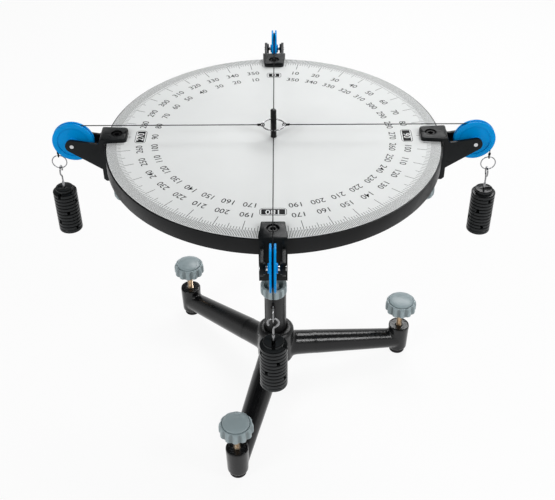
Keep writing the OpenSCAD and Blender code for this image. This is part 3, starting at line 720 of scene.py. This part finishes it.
def pulleyWheel():
    p = pulley
    half = [(p["bore"], p["hubHalf"]), (p["hubR"], p["hubHalf"]), (p["hubR"], p["web"]),
            (p["rimIn"], p["web"]), (p["rimIn"], p["half"]), (p["r"], p["half"]), (p["r"], p["mouth"]),
            (p["groove"], p["floor"])]
    return turned(half + [(r, -z) for r, z in reversed(half)], p["steps"], p["soft"], segments=3,
                  closed=True)


for side, at in turns.items():
    spot = (station["axleX"], 0, station["axleZ"])
    put(moved(pulleyWheel(), spot, 90.0, "X"), "pulleyWheel_" + side, "pulley_" + side, pulleyPlastic,
        ["pulley_" + side], turn=at)
    bar = turned([(0, -axle["half"]), (axle["r"], -axle["half"]), (axle["r"], axle["half"]),
                  (0, axle["half"])], axle["steps"], axle["soft"])
    put(moved(bar, spot, 90.0, "X"), "axlePin_" + side, "clamp_" + side, brightSteel,
        ["axle_" + side], turn=at)
print("pulleys made")

# clamps: the moulded frame is the CAD form with its outer edges rounded; soft and jawRound are in metres
clamp = dict(soft=0.0009, jawTop=407.0, jawRound=0.002, jawHalf=9.0, jawLeast=5.0, near=0.05, axleHole=3.2)
# what counts as the sight pocket and the index line; largest is an area in square metres
sight = dict(pocketEdge=7.4, pocketFace=7.1, lineHalf=0.45, edgeFloor=406.0, faceFloor=405.5, largest=6e-5)


def clampFrame(side):
    bm = copyOf("clamp_frame_" + side, flat=True)
    back = Matrix.Rotation(math.radians(-turns[side]), 3, "Z")

    def local(co):
        return back @ co * 1000.0  # in the station's millimetres

    def outer(edge):
        mid = (local(edge.verts[0].co) + local(edge.verts[1].co)) / 2
        inPocket = math.hypot(mid.x - station["pocketX"], mid.y) < sight["pocketEdge"]
        inLine = abs(mid.y) < sight["lineHalf"] and mid.z > sight["edgeFloor"]
        onAxle = math.hypot(mid.x - station["axleX"], mid.z - station["axleZ"]) < clamp["axleHole"]
        return not (inPocket or inLine or onAxle)

    def jawSide(edge):
        ends = [local(v.co) for v in edge.verts]
        onTop = all(abs(p.z - clamp["jawTop"]) < clamp["near"] and abs(p.y) > clamp["jawHalf"] for p in ends)
        return onTop and (ends[0] - ends[1]).length > clamp["jawLeast"]

    soften(bm, clamp["jawRound"], segments=4, least=60.0, where=jawSide)
    soften(bm, clamp["soft"], segments=3, least=25.0, where=outer)
    # the pocket's inside and the index groove take the darker plastic as painted shade
    for face in bm.faces:
        mid = local(face.calc_center_median())
        off = math.hypot(mid.x - station["pocketX"], mid.y)
        inPocket = off < sight["pocketFace"] and mid.z > table["dialTop"]
        inLine = (abs(mid.y) < sight["lineHalf"]
                  and sight["faceFloor"] < mid.z < clamp["jawTop"] - clamp["near"])
        face.material_index = 1 if (inPocket or inLine) and face.calc_area() < sight["largest"] else 0
    put(bm, "clampFrame_" + side, "clamp_" + side, clampPlastic, ["clamp_frame_" + side],
        scale=1.0, second=sightShadePlastic)


clampScrew = dict(r=3.0, pitch=1.0, coreR=2.35, tipR=2.0, low=319.1, shoulder=(377.3, 377.4), tip=379.9,
                  thread=(319.2, 377.4), rim=328.6, knobD=29.5, capD=24.0, knobH=16.0, flute=5.0,
                  boreGap=0.05, steps=20)
pressurePad = dict(r=7.0, low=377.45, top=381.45, boreR=2.05, boreTop=380.0, soft=0.4, steps=40)
s, p = clampScrew, pressurePad
knobMesh = moved(flutedKnob(s["knobD"], s["capD"], s["knobH"], s["r"] + s["boreGap"], s["flute"]),
                 turn=180.0, axis="X")
screwMesh = turned([(0, s["low"]), (s["coreR"], s["low"]), (s["coreR"], s["shoulder"][0]),
                    (s["tipR"], s["shoulder"][1]), (s["tipR"], s["tip"]), (0, s["tip"])], s["steps"])
threaded(screwMesh, s["r"], s["pitch"], *s["thread"], s["steps"])
for side, at in turns.items():
    clampFrame(side)
    foot = (station["screwX"], 0, 0)
    put(moved(knobMesh.copy(), (station["screwX"], 0, s["rim"])), "clampKnob_" + side, "clamp_screw_" + side,
        knobPlastic, ["clamp_knob_" + side], smooth=32.0, turn=at)
    put(moved(screwMesh.copy(), foot), "clampScrew_" + side, "clamp_screw_" + side, screwBrass,
        ["clamp_screw_" + side], smooth=40.0, turn=at)
    pad = turned([(0, p["boreTop"]), (p["boreR"], p["boreTop"]), (p["boreR"], p["low"]), (p["r"], p["low"]),
                  (p["r"], p["top"]), (0, p["top"])], p["steps"], p["soft"])
    put(moved(pad, foot), "pressurePad_" + side, "clamp_pad_" + side, padPlastic,
        ["clamp_pad_" + side], turn=at)
print("clamps made")

# link rings, hangers and masses; a hanger's heights are below its link ring's top
linkRing = dict(d=17.6, wire=1.3, sides=12, steps=56)
hanger = dict(wireR=1.0, hookR=5.75, lean=60.0, end=215.0, rodR=1.5, rodSoft=0.35, overlap=0.5,
              hookMid=-21.4, foot=-31.359, rodTop=-37.859, base=-108.859, sunk=1.0, discR=14.75, discT=4.8,
              chamfer=0.7, discSoft=0.25, wireSides=12, hookSteps=44, bendSteps=12, shankSteps=4,
              rodSides=24, discSides=64)
stack = dict(soft=0.0003, slope=(0.25, 0.95))  # faces that lean this much lie in the gaps


def bentHanger():
    h = hanger
    bm = bmesh.new()
    a = math.radians(h["end"])
    start = (0, h["hookR"] * math.cos(a), h["hookMid"] + h["hookR"] * math.sin(a))
    section = ringOf(bm, h["wireR"], h["wireSides"], start, (0, -math.sin(a), math.cos(a)))
    last = sweep(bm, section, (1, 0, 0), (0, 0, h["hookMid"]), -(h["end"] + h["lean"]), h["hookSteps"])
    bend = 2 * h["hookR"] * math.cos(math.radians(h["lean"]))
    last = sweep(bm, last, (1, 0, 0), (0, bend, h["foot"]), h["lean"], h["bendSteps"])
    shank = (h["rodTop"] - h["overlap"] - h["foot"]) / h["shankSteps"]
    sweep(bm, last, (0, 0, 1), (0, 0, 0), 0.0, h["shankSteps"], (0, 0, shank))
    capped(bm)
    rodFoot = h["base"] + h["sunk"]
    poured(turned([(0, rodFoot), (h["rodR"], rodFoot), (h["rodR"], h["rodTop"]), (0, h["rodTop"])],
                  h["rodSides"], h["rodSoft"]), bm)
    return bm


def hangerDisc():
    r, c, low, high = hanger["discR"], hanger["chamfer"], hanger["base"], hanger["base"] + hanger["discT"]
    return turned([(0, low), (r - c, low), (r, low + c), (r, high - c), (r - c, high), (0, high)],
                  hanger["discSides"], hanger["discSoft"])


def massStack(side):
    bm = copyOf("masses_" + side, flat=True)
    soften(bm, stack["soft"], segments=2, least=25.0)
    for face in bm.faces:
        # the chamfer faces in the grooves take the darker paint as painted shade
        face.material_index = 1 if stack["slope"][0] < abs(face.normal.z) < stack["slope"][1] else 0
    return bm


for side, at in turns.items():
    hang = (station["hangX"], 0, station["axleZ"] - falls[side])
    ring = moved(wireRing(linkRing), (0, 0, -linkRing["d"] / 2), 90.0, "X")
    put(moved(ring, hang), "linkRing_" + side, "link_ring_" + side, wireSteel,
        ["link_ring_" + side], smooth=80.0, turn=at)
    put(moved(bentHanger(), hang), "hangerHook_" + side, "hanger_" + side, wireSteel,
        ["hanger_" + side], smooth=45.0, turn=at)
    put(moved(hangerDisc(), hang), "hangerDisc_" + side, "hanger_" + side, massPaint, turn=at)
    put(massStack(side), "massStack_" + side, "masses_" + side, massPaint, ["masses_" + side],
        scale=1.0, second=gapShadePaint)
print("hangers made")

flange = dict(soft=0.0008)
bm = copyOf("table_flange", flat=True)
soften(bm, flange["soft"], segments=3, least=25.0)
put(bm, "underFlange", "stand", enamel, ["table_flange"], scale=1.0)

# CAD nodes that stay as they are get their finish
bought = {"flange_screws": brightSteel, "set_screws": brightSteel, "pin_bush": screwBrass}
for node, finish in bought.items():
    nodes[node].data.materials.clear()
    nodes[node].data.materials.append(finish.material)

# pale floor that the camera and reflections see as nearly white
ground = dict(radius=30.0, drop=0.0002, colour=(0.93, 0.93, 0.93, 1.0), seenWhite=0.9)
bm = bmesh.new()
bmesh.ops.create_circle(bm, cap_ends=True, radius=ground["radius"], segments=96)
bmesh.ops.translate(bm, vec=(0, 0, -ground["drop"]), verts=bm.verts)
floorMesh = bpy.data.meshes.new("paleFloor")
bm.to_mesh(floorMesh)
bm.free()
paleFloor = bpy.data.objects.new("paleFloor", floorMesh)
scene.collection.objects.link(paleFloor)
floorMaterial = bpy.data.materials.new("paleFloor")
floorMaterial.use_nodes = True
floorMesh.materials.append(floorMaterial)
graph = Graph(floorMaterial.node_tree)
rays = graph.add("ShaderNodeLightPath", out="Is Camera Ray")
seen = rays | rays.beside("Is Glossy Ray") | rays.beside("Is Transmission Ray")
matt = graph.add("ShaderNodeBsdfDiffuse", None, {"Color": ground["colour"]})
glow = graph.add("ShaderNodeEmission")
blend = graph.add("ShaderNodeMixShader", None, {0: seen * ground["seenWhite"], 1: matt, 2: glow})
graph.add("ShaderNodeOutputMaterial", None, {0: blend})

# white walls that darken towards the ceiling
walls = dict(low=1.0, high=0.16, fade=(0.14, 0.62))
sky = bpy.data.worlds.new("studio")
scene.world = sky
sky.use_nodes = True
graph = Graph(sky.node_tree)
aim = graph.add("ShaderNodeTexCoord", out="Generated")
height = graph.add("ShaderNodeSeparateXYZ", None, {0: aim}, out="Z")
fade = graph.add("ShaderNodeMapRange", {"interpolation_type": "SMOOTHSTEP"},
                 {0: height, 1: walls["fade"][0], 2: walls["fade"][1], 3: 0.0, 4: 1.0})
wall = graph.tint(fade, shade(*[walls["low"]] * 3), shade(*[walls["high"]] * 3))
room = graph.add("ShaderNodeBackground", None, {"Color": wall, "Strength": 1.0})
graph.add("ShaderNodeOutputWorld", None, {0: room})

# soft boxes, turned to the middle of the stand
softboxes = {"leftBox": dict(place=(-1.3, -1.1, 1.6), size=(0.5, 0.7), power=12.0),
             "rightBox": dict(place=(1.5, -0.8, 1.5), size=(0.45, 0.7), power=11.0),
             "topBox": dict(place=(0.45, 1.15, 1.45), size=(1.3, 0.55), power=17.0)}
middle = Vector((0, 0, 0.3))
for name, box in softboxes.items():
    lamp = bpy.data.lights.new(name, "AREA")
    lamp.shape, lamp.energy = "RECTANGLE", box["power"]
    lamp.size, lamp.size_y = box["size"]
    holder = bpy.data.objects.new(name, lamp)
    holder.location = box["place"]
    holder.rotation_mode = "QUATERNION"
    holder.rotation_quaternion = (middle - Vector(box["place"])).to_track_quat("-Z", "Y")
    scene.collection.objects.link(holder)
print("studio lit")
